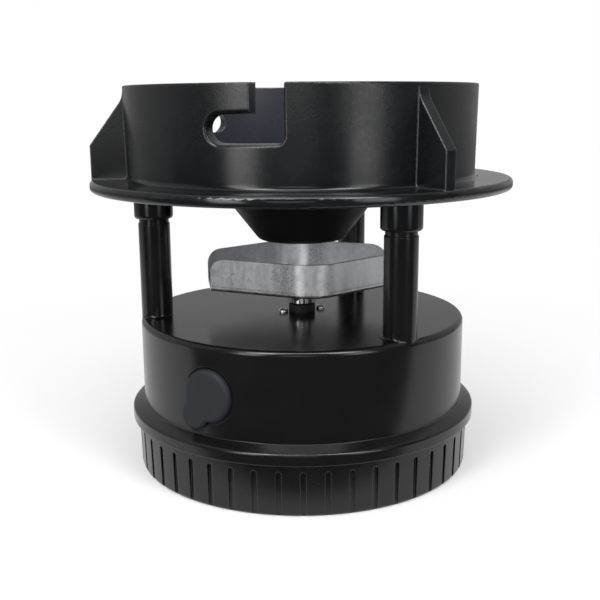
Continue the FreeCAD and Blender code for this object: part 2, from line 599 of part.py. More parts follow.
def make_motor_screws():
    reach, turn = size("motor_screw_circle"), size("motor_screw_turn") + 90
    seats = [around(turn + half, reach, size("roof_level")) for half in (0, 180)]
    length = size("roof_thickness") + size("motor_screw_length")
    return compound("motor_screws", [
        screw(seat, DOWN, size("motor_screw_head_radius"), size("motor_screw_head_height"),
              size("motor_screw_radius"), length) for seat in seats])


def make_shaft_seal():
    """Cap over the motor's boss that keeps dust off the bearing."""
    body = new_body("shaft_seal")
    recess = "motor_boss_radius + cap_clearance"
    inner_top = f"{ROOF_UNDER} + motor_boss_height + cap_clearance"
    revolve(body, outline(new_sketch(body), (
        (recess, "roof_level"), ("cap_radius", "roof_level"), ("cap_radius", "roof_level + cap_height"),
        ("cap_lip_radius", "roof_level + cap_height"), ("cap_lip_radius", inner_top), (recess, inner_top))))
    edge = ring(size("cap_radius"), size("roof_level") + size("cap_height"))
    soften(body, body.Tip, edge, "cap_lip_radius / 2")
    return body


def make_motor_shaft():
    shaft = doc.addObject("Part::Cylinder", "motor_shaft")
    shaft.Label = "motor_shaft"
    low = f"( {MOTOR_FLOOR} - end_cap_length - end_cap_boss_length )"
    return bind(shaft, Radius="shaft_radius", Height=f"shaft_top_level - {low}", Placement__Base__z=low)


def make_spinner_hub():
    """Steel hub on the shaft: a collar with a set screw, and a spigot riveted over the plate."""
    body = new_body("spinner_hub")
    bore = "shaft_radius + hub_clearance"
    over = "spinner_level + spinner_gauge"
    revolve(body, outline(new_sketch(body), (
        (bore, "hub_level"), ("hub_radius", "hub_level"), ("hub_radius", "hub_level + hub_collar_height"),
        ("hub_neck_radius", "hub_level + hub_collar_height"), ("hub_neck_radius", "spinner_level"),
        ("hub_spigot_radius", "spinner_level"), ("hub_spigot_radius", over), ("hub_head_radius", over),
        ("hub_head_radius", f"{over} + hub_head_height"), (bore, f"{over} + hub_head_height"))))
    soften(body, body.Tip, ring(size("hub_radius"), size("hub_level")), "0.6", "Chamfer")
    middle = "hub_level + hub_collar_height / 2"
    extrude(body, circle(new_sketch(body, turn="set_screw_turn"), ("0", middle), "set_screw_radius"),
            "20", "Pocket", reverse=True)
    return body


def make_hub_set_screw():
    tip = size("shaft_radius") + size("hub_clearance")
    level = size("hub_level") + size("hub_collar_height") / 2
    outward = around(size("set_screw_turn"), 1)
    length = size("hub_radius") - 0.5 - tip
    shank = Part.makeCylinder(size("set_screw_radius"), length, outward * tip + UP * level, outward)
    made = doc.addObject("Part::Feature", "hub_set_screw")
    made.Shape = shank
    made.Placement = Placement()
    return made


def spinner_outline(length, end_width, reach):
    back = f"- ( {length} )"
    return ((length, end_width), ("0", reach), (back, end_width),
            (back, f"- ( {end_width} )"), ("0", f"- ( {reach} )"), (length, f"- ( {end_width} )"))


def wall_end_cut(sketch, side):
    """The waste outside a rounded top corner of the walls, at one end of the plate."""
    length, top, bend = size("spinner_half_length"), size("spinner_height"), size("spinner_end_round")
    inner, outer = side * (length - bend), side * (length + 1)
    points = [Vector(inner, top), Vector(inner, top + 1), Vector(outer, top + 1), Vector(outer, top - bend),
              Vector(side * length, top - bend)]
    sign = "" if side > 0 else "- "
    places = ((f"{sign}( spinner_half_length - spinner_end_round )", "spinner_height"),
              (f"{sign}( spinner_half_length - spinner_end_round )", "spinner_height + 1"),
              (f"{sign}( spinner_half_length + 1 )", "spinner_height + 1"),
              (f"{sign}( spinner_half_length + 1 )", "spinner_height - spinner_end_round"),
              (f"{sign}spinner_half_length", "spinner_height - spinner_end_round"))
    for first, second in zip(points, points[1:]):
        sketch.addGeometry(Part.LineSegment(first, second), False)
    centre = Part.Circle(Vector(inner, top - bend), Vector(0, 0, 1), bend)
    span = (0, pi / 2) if side > 0 else (pi / 2, pi)
    arc = sketch.addGeometry(Part.ArcOfCircle(centre, *span), False)
    to_last, to_first = (1, 2) if side > 0 else (2, 1)
    for i in range(len(points) - 2):
        sketch.addConstraint(Sketcher.Constraint("Coincident", i, 2, i + 1, 1))
    sketch.addConstraint(Sketcher.Constraint("Coincident", arc - 1, 2, arc, to_last))
    sketch.addConstraint(Sketcher.Constraint("Coincident", arc, to_first, 0, 1))
    for i, place in enumerate(places[:-1]):
        pin(sketch, i, 1, place, (points[i].x, points[i].y))
    pin(sketch, arc - 1, 2, places[-1], (points[-1].x, points[-1].y))
    size_of = sketch.addConstraint(Sketcher.Constraint("Radius", arc, bend))
    sketch.setExpression(f"Constraints[{size_of}]", bound("spinner_end_round"))
    return sketch


def make_spinner_plate():
    """Bent steel plate: a floor with two V-shaped walls, open at both ends of its long axis."""
    body = new_body("spinner_plate")
    extrude(body, outline(new_sketch(body, "XY_Plane"), spinner_outline(
        "spinner_half_length", "spinner_end_half_width", "spinner_corner_reach")), "spinner_height")

    slope = "( spinner_corner_reach - spinner_end_half_width ) / spinner_half_length"
    offset = f"spinner_gauge * sqrt( 1 + ( {slope} ) ^ 2 )"
    past = "spinner_half_length + 5"
    extrude(body, outline(new_sketch(body, "XY_Plane", lift="spinner_gauge"), spinner_outline(
        past, f"spinner_corner_reach - ( {slope} ) * ( {past} ) - {offset}",
        f"spinner_corner_reach - {offset}")), "spinner_height", "Pocket", reverse=True)

    def upright_at(reach):
        def wanted(edge):
            middle = edge.CenterOfMass
            upright = abs(edge.tangentAt(edge.FirstParameter).z) > 0.99
            return upright and abs(middle.x) < 0.1 and abs(abs(middle.y) - reach) < 0.1
        return wanted
    run = (size("spinner_corner_reach") - size("spinner_end_half_width")) / size("spinner_half_length")
    inside = size("spinner_corner_reach") - size("spinner_gauge") * (1 + run ** 2) ** 0.5
    soften(body, body.Tip, upright_at(inside), "spinner_corner_round - spinner_gauge")
    soften(body, body.Tip, upright_at(size("spinner_corner_reach")), "spinner_corner_round")
    for side in (1, -1):
        cut = wall_end_cut(new_sketch(body), side)
        extrude(body, cut, "spinner_corner_reach * 2", "Pocket", both_ways=True)
    end_x = size("spinner_half_length")

    def lower_bend(edge):
        middle = edge.CenterOfMass
        return abs(middle.z) < 0.01 and abs(middle.x) < end_x - 1
    soften(body, body.Tip, lower_bend, "spinner_bend_round")
    extrude(body, circle(new_sketch(body, "XY_Plane", lift="- 1"), ("0", "0"),
                         "hub_spigot_radius"), "spinner_gauge + 2", "Pocket", reverse=True)
    body.Placement = Placement(Vector(), Rotation(UP, 0))
    bind(body, Placement__Base__z="spinner_level", Placement__Rotation__Angle="spinner_turn")
    return body


def port_frame(out):
    """Placement at the port, `out` from the axis: local Z points outwards and local Y up."""
    outward = around(size("port_turn"), 1)
    across = UP.cross(outward)
    return Placement(outward * out + UP * size("port_level"), Rotation(across, UP, outward, "ZXY"))


def make_charge_jack():
    """Barrel jack: a threaded sleeve through the cup's floor and a body behind it."""
    floor_in = size("drum_bore_radius") - size("port_cup_depth")
    thick = size("port_floor_thickness") + size("nut_thickness") + 0.6
    sleeve = Part.makeCylinder(size("jack_radius"), thick)
    shell = Part.makeCylinder(size("jack_body_radius"), size("jack_body_length"), Vector(), DOWN)
    depth = size("jack_bore_depth")
    bore = Part.makeCylinder(size("jack_bore_radius"), depth + 1, Vector(0, 0, thick - depth))
    centre = Part.makeCylinder(size("jack_pin_radius"), depth, Vector(0, 0, thick - depth - 0.5))
    made = doc.addObject("Part::Feature", "charge_jack")
    made.Shape = sleeve.fuse(shell).cut(bore).fuse(centre).removeSplitter()
    made.Placement = port_frame(floor_in)
    return made


def make_jack_nut():
    seat = size("drum_bore_radius") - size("port_cup_depth") + size("port_floor_thickness")
    corner = size("nut_across_flats") / 2 / cos(radians(30))
    points = [Vector(corner * cos(radians(60 * i)), corner * sin(radians(60 * i))) for i in range(7)]
    blank = Part.Face(Part.makePolygon(points)).extrude(UP * size("nut_thickness"))
    made = doc.addObject("Part::Feature", "jack_nut")
    made.Shape = blank.cut(Part.makeCylinder(size("jack_radius"), size("nut_thickness")))
    made.Placement = port_frame(seat)
    return made


def make_charge_plug():
    """Rubber plug: a round flange with a pull tab, and a hollow stem that grips the port's mouth."""
    thick, edge_round = size("plug_thickness"), size("plug_edge_round")
    disc = Part.makeCylinder(size("plug_radius"), thick)
    corner = Vector(-size("plug_tab_across"), -size("plug_tab_drop"))
    tab = Part.makeCylinder(size("plug_tab_radius"), thick, corner)
    flange = disc.fuse(tab).removeSplitter()
    joins = [edge for edge in flange.Edges if abs(edge.tangentAt(edge.FirstParameter).z) > 0.99
             and abs(Vector(*edge.CenterOfMass[:2]).Length - size("plug_radius")) < 0.01
             and abs(edge.CenterOfMass.x * corner.y - edge.CenterOfMass.y * corner.x) > 1]
    flange = flange.makeFillet(size("plug_tab_join"), joins)
    outer = [edge for edge in flange.Edges if abs(edge.CenterOfMass.z - thick) < 1e-6]
    flange = flange.makeFillet(edge_round, outer)
    stem = Part.makeCylinder(size("plug_stem_radius"), size("plug_stem_length"), Vector(), DOWN)
    hollow = Part.makeCylinder(size("plug_stem_radius") - size("plug_stem_wall"), size("plug_stem_length"),
                               Vector(), DOWN)
    made = doc.addObject("Part::Feature", "charge_plug")
    made.Shape = flange.fuse(stem.cut(hollow)).removeSplitter()
    made.Placement = port_frame(size("drum_radius") - size("port_land_depth") + size("plug_gap"))
    return made


BATTERY_FLOOR = f"{ROOF_UNDER} - battery_roof_gap - battery_height"


def make_battery():
    """Sealed lead battery lying on its side, with a lid line and rounded edges."""
    case = doc.addObject("Part::Box", "BatteryCase")
    bind(case, Length="battery_length", Width="battery_width", Height="battery_height",
         Placement__Base__x="- battery_length / 2", Placement__Base__y="battery_front",
         Placement__Base__z=BATTERY_FLOOR)
    doc.recompute()
    rounded = doc.addObject("Part::Fillet", "battery")
    rounded.Label = "battery"
    rounded.Base = case
    radius = size("battery_edge_round")
    rounded.Edges = [(i, radius, radius) for i in range(1, 13)]
    return rounded


def make_battery_terminals():
    end = size("battery_length") / 2
    level = roof_under() - size("battery_roof_gap") - size("battery_height") / 2
    middle = size("battery_front") + size("tab_inset")
    width, length, thick = size("tab_width"), size("tab_length"), size("tab_thickness")
    tabs = [Part.makeBox(length, thick, width, Vector(end, middle - thick / 2,
                                                      level + side * size("tab_spread") / 2 - width / 2))
            for side in (-1, 1)]
    return compound("battery_terminals", tabs)


def make_battery_strap():
    """Steel strap bent under the battery, with a foot on each roof boss."""
    body = new_body("battery_strap")
    inner = "battery_length / 2 + strap_clearance"
    tip = f"{STRAP_X} + strap_foot"
    low = f"{BATTERY_FLOOR} - strap_gauge"
    sketch = new_sketch(body, "XZ_Plane")
    sketch.setExpression("AttachmentOffset.Base.z", bound(f"- ( {STRAP_Y} )"))
    extrude(body, outline(sketch, (
        (STRAP_X, low), (STRAP_X, "boss_level - strap_gauge"), (tip, "boss_level - strap_gauge"),
        (tip, "boss_level"), (inner, "boss_level"), (inner, BATTERY_FLOOR), (f"- ( {inner} )", BATTERY_FLOOR),
        (f"- ( {inner} )", "boss_level"), (f"- ( {tip} )", "boss_level"),
        (f"- ( {tip} )", "boss_level - strap_gauge"), (f"- ( {STRAP_X} )", "boss_level - strap_gauge"),
        (f"- ( {STRAP_X} )", low))), "strap_width", both_ways=True)
    sketch = new_sketch(body, "XY_Plane", lift="boss_level - strap_gauge - 1")
    for sign in ("", "- "):
        circle(sketch, (f"{sign} ( {STRAP_SCREW_X} )", STRAP_Y), "small_screw_radius + screw_clearance")
    extrude(body, sketch, "strap_gauge + 2", "Pocket", reverse=True)
    return body


def make_strap_screws():
    half = size("battery_length") / 2
    reach = half + size("strap_clearance") + size("strap_gauge") + size("strap_foot") / 2
    middle = size("battery_front") + size("battery_width") / 2
    level = size("boss_level") - size("strap_gauge")
    return compound("strap_screws", [
        small_screw(Vector(side * reach, middle, level), size("strap_screw_length")) for side in (-1, 1)])


def timer_face():
    """Level of the timer's face, which looks down."""
    return roof_under() - size("timer_height")


def timer_corner():
    """The front left corner of the timer's case, which keeps clear of the front right leg."""
    leg = around(size("leg_turn"), size("leg_circle_radius"))
    return (leg.x - size("timer_leg_across") - size("timer_length"), leg.y + size("timer_leg_behind"))


def timer_corners():
    """The four screw posts in the timer's corners."""
    inset = size("timer_post_inset")
    x, y = timer_corner()
    left, front = x + inset, y + inset
    right = x + size("timer_length") - inset
    back = y + size("timer_width") - inset
    return [(left, front), (right, front), (left, back), (right, back)]


def button_centres():
    left, front = timer_corner()
    middle = left + size("timer_length") / 2
    start = middle - size("button_pitch") * (size("button_count") - 1) / 2
    row = front + size("button_row")
    return [(start + size("button_pitch") * i, row) for i in range(int(size("button_count")))]


def make_timer_case():
    """Open tray screwed up against the roof; its face looks down and carries the window and buttons."""
    (left, front), face = timer_corner(), timer_face()
    length, width, height, wall = (size(f"timer_{side}") for side in ("length", "width", "height", "wall"))
    block = Part.makeBox(length, width, height, Vector(left, front, face))
    outer = [e for e in block.Edges if e.CenterOfMass.z < face + height - 0.01]
    block = block.makeFillet(size("timer_edge_round"), outer)
    block = block.cut(Part.makeBox(length - 2 * wall, width - 2 * wall, height,
                                   Vector(left + wall, front + wall, face + wall)))
    post, boss = size("timer_post_radius"), size("timer_boss_length")
    for x, y in timer_corners():
        block = block.fuse([
            Part.makeCylinder(post, height - wall - boss, Vector(x, y, face + wall)),
            Part.makeCylinder(post + size("timer_post_step"), size("board_gap"), Vector(x, y, face + wall))])
    for x, y in timer_corners():
        block = block.cut(Part.makeCylinder(size("small_screw_radius") + size("screw_clearance"), height,
                                            Vector(x, y, face - 1)))
    for x, y in button_centres():
        block = block.cut(Part.makeCylinder(size("button_radius") + size("button_clearance"), wall + 2,
                                            Vector(x, y, face - 1)))
    window = Part.makeBox(size("window_length"), size("window_width"), wall + 2, window_corner(face - 1))
    made = doc.addObject("Part::Feature", "timer_case")
    made.Shape = block.cut(window).removeSplitter()
    made.Placement = Placement()
    return made


def window_corner(level):
    left, front = timer_corner()
    x = left + (size("timer_length") - size("window_length")) / 2
    y = front + size("timer_width") - size("window_inset") - size("window_width")
    return Vector(x, y, level)


def board_level():
    face = timer_face()
    return face + size("timer_wall") + size("board_gap")


def make_timer_board():
    """Circuit board on the steps of the posts, with one push switch over each button."""
    wall, gap = size("timer_wall"), size("board_clearance")
    low = board_level()
    left, front = timer_corner()
    corner = Vector(left + wall + gap, front + wall + gap, low)
    board = Part.makeBox(size("timer_length") - 2 * (wall + gap), size("timer_width") - 2 * (wall + gap),
                         size("board_thickness"), corner)
    notch = size("timer_post_radius") + gap
    for x, y in timer_corners():
        board = board.cut(Part.makeBox(2 * notch, 2 * notch, size("board_thickness"),
                                       Vector(x - notch, y - notch, low)))
    side = size("switch_side")
    flange_top = low - size("board_gap") + size("button_flange_thickness")
    switch_low = flange_top + size("button_travel") + size("switch_gap")
    for x, y in button_centres():
        corner = Vector(x - side / 2, y - side / 2, switch_low)
        board = board.fuse(Part.makeBox(side, side, low - switch_low, corner))
    made = doc.addObject("Part::Feature", "timer_board")
    made.Shape = board.removeSplitter()
    made.Placement = Placement()
    return made


def make_timer_display():
    """Liquid crystal display: a glass that fills the window, on a frame that the board carries."""
    gap, wall = size("display_clearance"), size("timer_wall")
    face = board_level() - size("board_gap") - wall
    corner = window_corner(face + 0.4) + Vector(gap, gap)
    glass = Part.makeBox(size("window_length") - 2 * gap, size("window_width") - 2 * gap, wall, corner)
    frame_corner = window_corner(face + wall) - Vector(2, 2)
    frame = Part.makeBox(size("window_length") + 4, size("window_width") + 4, size("board_gap"), frame_corner)
    made = doc.addObject("Part::Feature", "timer_display")
    made.Shape = glass.fuse(frame).removeSplitter()
    made.Placement = Placement()
    return made


def make_timer_buttons():
    """Push buttons: a cap through the face, kept in by a flange inside it."""
    face = timer_face()
    seat = face + size("timer_wall")
    made = []
    for number, (x, y) in enumerate(button_centres(), 1):
        low = face - size("button_proud")
        cap = Part.makeCylinder(size("button_radius"), seat - low, Vector(x, y, low))
        tip = [e for e in cap.Edges if abs(e.CenterOfMass.z - low) < 1e-6]
        cap = cap.makeFillet(size("button_tip_round"), tip)
        flange = Part.makeCylinder(size("button_flange_radius"), size("button_flange_thickness"),
                                   Vector(x, y, seat))
        button = doc.addObject("Part::Feature", f"timer_button_{number}")
        button.Shape = cap.fuse(flange).removeSplitter()
        button.Placement = Placement()
        made.append(button)
    return made


def make_timer_screws():
    face = timer_face()
    return compound("timer_screws", [small_screw(Vector(x, y, face), size("timer_screw_length"))
                                     for x, y in timer_corners()])


def make_leg_screws():
    seats = [around(size("leg_turn") + 360 * i / size("leg_count"), size("leg_circle_radius"),
                    size("leg_seat_level")) for i in range(int(size("leg_count")))]
    return compound("leg_screws", [
        screw(seat, DOWN, size("leg_screw_head_radius"), size("leg_screw_head_height"),
              size("leg_screw_radius"), size("leg_screw_length")) for seat in seats])


def make_funnel_screws():
    level = size("flange_level") - size("funnel_flange_thickness")
    count = int(size("funnel_screw_count"))
    seats = [around(90 + 360 * i / count, size("funnel_screw_circle"), level) for i in range(count)]
    return compound("funnel_screws", [small_screw(seat, size("funnel_screw_length")) for seat in seats])


parts = [
    make_hopper_collar(), make_funnel(), make_funnel_screws(), make_base_housing(), make_leg_screws(),
    make_motor_can(), make_motor_end_cap(), make_motor_terminals(), make_motor_screws(), make_shaft_seal(),
    make_motor_shaft(), make_spinner_hub(), make_hub_set_screw(), make_spinner_plate(),
    make_charge_jack(), make_jack_nut(), make_charge_plug(),
    make_battery(), make_battery_terminals(), make_battery_strap(), make_strap_screws(),
    make_timer_case(), make_timer_board(), make_timer_display(), *make_timer_buttons(), make_timer_screws(),
    make_bottom_cover(), make_cover_seal(),
]

doc.recompute()
faults = [f"{made.Name} ({made.Label}): {made.State}" for made in doc.Objects
          if "Invalid" in made.State or "Error" in made.State]
faults += [f"{part.Label}: its shape is empty or not valid" for part in parts
           if part.Shape.isNull() or not part.Shape.isValid()]
if faults:
    raise RuntimeError("; ".join(faults))

os.makedirs("parts", exist_ok=True)
for part in parts:
    part.Shape.exportStep(os.path.join("parts", f"{part.Label}.step"))
    print(f"{part.Label}: {len(part.Shape.Solids)} solid(s), {part.Shape.Volume / 1000:.2f} cm3")
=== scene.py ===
"""Looks of the spin cast feeder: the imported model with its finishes, its fine detail, and the studio."""

import math

import bmesh
import bpy
from mathutils import Matrix, Vector


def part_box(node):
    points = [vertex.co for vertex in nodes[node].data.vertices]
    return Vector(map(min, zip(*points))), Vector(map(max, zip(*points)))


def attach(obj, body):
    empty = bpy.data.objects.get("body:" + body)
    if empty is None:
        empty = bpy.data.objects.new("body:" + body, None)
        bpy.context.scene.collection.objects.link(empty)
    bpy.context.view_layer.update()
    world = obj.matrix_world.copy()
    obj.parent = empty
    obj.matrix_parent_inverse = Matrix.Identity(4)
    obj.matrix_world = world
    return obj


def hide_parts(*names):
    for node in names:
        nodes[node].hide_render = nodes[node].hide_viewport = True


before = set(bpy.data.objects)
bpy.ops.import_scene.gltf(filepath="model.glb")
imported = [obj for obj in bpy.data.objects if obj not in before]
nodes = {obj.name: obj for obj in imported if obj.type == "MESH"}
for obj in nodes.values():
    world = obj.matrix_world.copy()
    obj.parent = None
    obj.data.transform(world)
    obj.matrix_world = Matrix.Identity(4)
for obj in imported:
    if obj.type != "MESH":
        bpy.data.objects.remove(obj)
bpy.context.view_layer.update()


# Housing: one black moulding of drum, flat roof, skirt and three legs. It comes glossy from a polished
# mould, with faint flow marks; handling has rubbed its edges a little smoother, and they are painted paler
# as a highlight.
class Value:
    """A socket of a finish, on which arithmetic adds Math nodes."""

    def __init__(self, finish, socket):
        self.finish = finish
        self.socket = socket

    def maths(self, operation, first, second):
        return self.finish.node("Math", {"operation": operation}, {0: first, 1: second})

    def __add__(self, other):
        return self.maths("ADD", self, other)

    def __radd__(self, other):
        return self.maths("ADD", other, self)

    def __sub__(self, other):
        return self.maths("SUBTRACT", self, other)

    def __rsub__(self, other):
        return self.maths("SUBTRACT", other, self)

    def __mul__(self, other):
        return self.maths("MULTIPLY", self, other)


class Nodes:
    """A tree of shader nodes."""

    def __init__(self, tree, place):
        self.tree = tree
        self.place = self.node("TexCoord", out=place)

    def node(self, kind, settings=None, sockets=None, out=0):
        """Adds a node: its settings first, then the values or links of its sockets."""
        made = self.tree.nodes.new("ShaderNode" + kind)
        for name, setting in (settings or {}).items():
            setattr(made, name, setting)
        for name, value in (sockets or {}).items():
            if isinstance(value, Value):
                self.tree.links.new(value.socket, made.inputs[name])
            else:
                made.inputs[name].default_value = value
        return Value(self, made.outputs[out])

    def noise(self, scale, detail=2.0, rough=0.5, place=None):
        sockets = {"Vector": place or self.place, "Scale": scale, "Detail": detail, "Roughness": rough}
        return self.node("TexNoise", {}, sockets, out="Fac")

    def cells(self, scale, out="Distance", feature="F1"):
        sockets = {"Vector": self.place, "Scale": scale}
        return self.node("TexVoronoi", {"feature": feature}, sockets, out=out)

    def stretched(self, scale, turn=(0.0, 0.0, 0.0)):
        return self.node("Mapping", {}, {"Vector": self.place, "Rotation": turn, "Scale": scale})

    def spread(self, value, low, high, to_low, to_high):
        """The value's stretch from low to high, mapped smoothly to another."""
        limits = {"Value": value, "From Min": low, "From Max": high, "To Min": to_low, "To Max": to_high}
        return self.node("MapRange", {"interpolation_type": "SMOOTHSTEP"}, limits)

    def mix(self, factor, first, second):
        sockets = {0: factor, 6: first, 7: second}
        return self.node("Mix", {"data_type": "RGBA"}, sockets, out=2)

    def axis(self, name):
        return self.node("SeparateXYZ", {}, {0: self.place}, out=name)

    def ray(self, kind):
        """One for rays of a kind, and zero for the rest."""
        return self.node("LightPath", out=f"Is {kind} Ray")


class Finish(Nodes):
    """One procedural material on the principled shader."""

    def __init__(self, name, **constants):
        self.material = bpy.data.materials.new(name)
        self.material.use_nodes = True
        super().__init__(self.material.node_tree, "Object")
        self.shader = self.tree.nodes["Principled BSDF"]
        for socket, value in constants.items():
            self.shader.inputs[socket.replace("_", " ")].default_value = value

    def feed(self, socket, value):
        self.tree.links.new(value.socket, self.shader.inputs[socket])

    def bump(self, height, distance, strength, before=None):
        sockets = {"Height": height, "Distance": distance, "Strength": strength}
        if before:
            sockets["Normal"] = before
        return self.node("Bump", {}, sockets, out="Normal")

    def edges(self, radius):
        """The eased normal, and a mask of one along the edges, which handling polishes and where a highlight
        is painted.
        """
        sharply_bent, hardly_bent = 0.93, 0.995
        eased = self.node("Bevel", {"samples": 8}, {"Radius": radius})
        flat = self.node("NewGeometry", out="Normal")
        bent = self.node("VectorMath", {"operation": "DOT_PRODUCT"}, {0: eased, 1: flat}, out="Value")
        return eased, self.spread(bent, sharply_bent, hardly_bent, 1.0, 0.0)


def rgb(red, green, blue):
    return (red, green, blue, 1.0)


def moulded_black(name, rough, grain, grain_depth, dark, light, edge=0.0004):
    """Black moulded plastic: soft mottling, fine grain, faint flow marks, light wear, eased edges, and a
    highlight painted paler along the edges.
    """
    finish = Finish(name)
    mottle = finish.noise(60.0, 3.0)
    wear_and_glint = finish.noise(350.0, 4.0, 0.7)
    eased, polish_and_highlight = finish.edges(edge)
    # Painted highlight: the edges are painted paler, and made smoother as by handling.
    plain, wear_and_edge_highlight = finish.mix(mottle, rgb(*dark), rgb(*light)), rgb(0.045, 0.047, 0.052)
    finish.feed("Base Color", finish.mix(polish_and_highlight * (0.2 + wear_and_glint * 0.6), plain, wear_and_edge_highlight))
    smoothest, roughest = rough * 0.85, rough * 1.2
    matt = finish.spread(mottle * 0.6 + wear_and_glint * 0.4, 0.3, 0.7, smoothest, roughest)
    finish.feed("Roughness", matt * (1.0 - polish_and_highlight * 0.4))
    flow_depth, relief = 0.0004, 0.3
    flow = finish.bump(finish.noise(14.0, 1.0), flow_depth, relief, eased)
    finish.feed("Normal", finish.bump(finish.noise(grain, 2.0, 0.6), grain_depth, relief, flow))
    return finish


def dress(names, finish):
    """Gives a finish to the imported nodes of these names."""
    for name in names:
        for slot in nodes[name].material_slots:
            slot.material = finish.material


WIDE_EDGE = 0.0006
housing_black = moulded_black("housing_black", 0.19, 1500.0, 0.00002, (0.003, 0.003, 0.0033),
                              (0.0056, 0.0054, 0.0052), WIDE_EDGE)
dress(["base_housing"], housing_black)


# Motor: a drawn steel can with a moulded end cap and two brass tabs, hung under the roof by two pan head
# screws beside a rubber slinger seal. The ground shaft comes out through the seal.
def bare_steel(name, colour, rough, streak):
    """Plated or ground steel with fine streaks and a little tarnish."""
    finish = Finish(name, Metallic=1.0)
    tarnish = finish.noise(180.0, 3.0)
    streaks = finish.noise(1.0, 2.0, 0.6, finish.stretched(streak))
    tarnished = 0.72
    darker = tuple(part * tarnished for part in colour)
    finish.feed("Base Color", finish.mix(tarnish, rgb(*darker), rgb(*colour)))
    finish.feed("Roughness", finish.spread(streaks, 0.3, 0.7, rough * 0.75, rough * 1.3))
    finish.feed("Normal", finish.bump(streaks, 0.00002, 0.4))
    return finish


def soft_rubber(name, dark, light, rough):
    """Matte rubber with bloom and a fine grain."""
    finish = Finish(name, Specular_IOR_Level=0.35)
    bloom = finish.noise(220.0, 4.0, 0.65)
    grain = finish.noise(2400.0, 2.0, 0.6)
    finish.feed("Base Color", finish.mix(bloom, rgb(*dark), rgb(*light)))
    finish.feed("Roughness", finish.spread(bloom, 0.3, 0.7, rough - 0.08, rough + 0.06))
    finish.feed("Normal", finish.bump(grain, 0.00012, 0.6))
    return finish


can_steel = bare_steel("can_steel", (0.55, 0.55, 0.54), 0.35, (400.0, 400.0, 3000.0))
dress(["motor_can"], can_steel)
cap_black = moulded_black("cap_black", 0.5, 2200.0, 0.00003, (0.018, 0.018, 0.019), (0.03, 0.03, 0.032))
dress(["motor_end_cap"], cap_black)
tab_brass = bare_steel("tab_brass", (0.78, 0.60, 0.28), 0.3, (3000.0, 3000.0, 300.0))
dress(["motor_terminals"], tab_brass)
seal_rubber = soft_rubber("seal_rubber", (0.012, 0.012, 0.013), (0.024, 0.024, 0.025), 0.55)
dress(["shaft_seal"], seal_rubber)
ground_steel = bare_steel("ground_steel", (0.72, 0.72, 0.72), 0.2, (300.0, 300.0, 9000.0))
dress(["motor_shaft"], ground_steel)
bright_zinc = bare_steel("bright_zinc", (0.80, 0.79, 0.76), 0.20, (1500.0, 1500.0, 1500.0))


def screw_outline(head_radius, head_height, shank_radius, length):
    """Half outline of a pan head screw, from the rim of its top face down to its end."""
    pitch, root_radius, end_radius = shank_radius * 0.55, shank_radius * 0.8, shank_radius * 0.7
    outline = [(head_radius * 0.62, head_height), (head_radius * 0.8, head_height * 0.93),
               (head_radius * 0.93, head_height * 0.78), (head_radius, head_height * 0.5),
               (head_radius, 0.0), (shank_radius, 0.0), (shank_radius, -pitch)]
    plain_turns = 3
    for turn in range(int(length / pitch) - plain_turns):
        depth = -pitch * (turn + 2)
        outline += [(root_radius, depth + pitch * 0.45), (shank_radius, depth)]
    return outline + [(end_radius, -length), (0.0, -length)]


def sink_cross(screw, head_radius, head_height):
    """Closes the top of a screw's head, with a tapered cross recess in it."""
    rim = [edge for edge in screw.edges if edge.is_boundary]
    grid = bmesh.ops.create_grid(screw, x_segments=3, y_segments=3, size=head_radius * 0.5)["verts"]
    cells = list(dict.fromkeys(face for vert in grid for face in vert.link_faces))
    middle_reach = head_radius * 0.062
    outer = [face for face in cells
             if min(abs(part) for part in face.calc_center_median()[:2]) > middle_reach]
    bmesh.ops.delete(screw, geom=outer, context="FACES")
    cells = [face for face in cells if face.is_valid]
    cross = list(dict.fromkeys(vert for face in cells for vert in face.verts))
    bmesh.ops.translate(screw, verts=cross, vec=(0.0, 0.0, head_height))
    sunk = bmesh.ops.extrude_face_region(screw, geom=cells)["geom"]
    bmesh.ops.delete(screw, geom=cells, context="FACES")
    bottom = [part for part in sunk if isinstance(part, bmesh.types.BMVert)]
    recess_depth, taper = head_height * 0.62, 0.6
    bmesh.ops.translate(screw, verts=bottom, vec=(0.0, 0.0, -recess_depth))
    bmesh.ops.scale(screw, verts=bottom, vec=(taper, taper, 1.0))
    mouth = [edge for edge in screw.edges if edge.is_boundary and edge not in rim]
    bmesh.ops.bisect_edges(screw, edges=mouth, cuts=1)
    bmesh.ops.bridge_loops(screw, edges=[edge for edge in screw.edges if edge.is_boundary])
    bmesh.ops.recalc_face_normals(screw, faces=screw.faces[:])


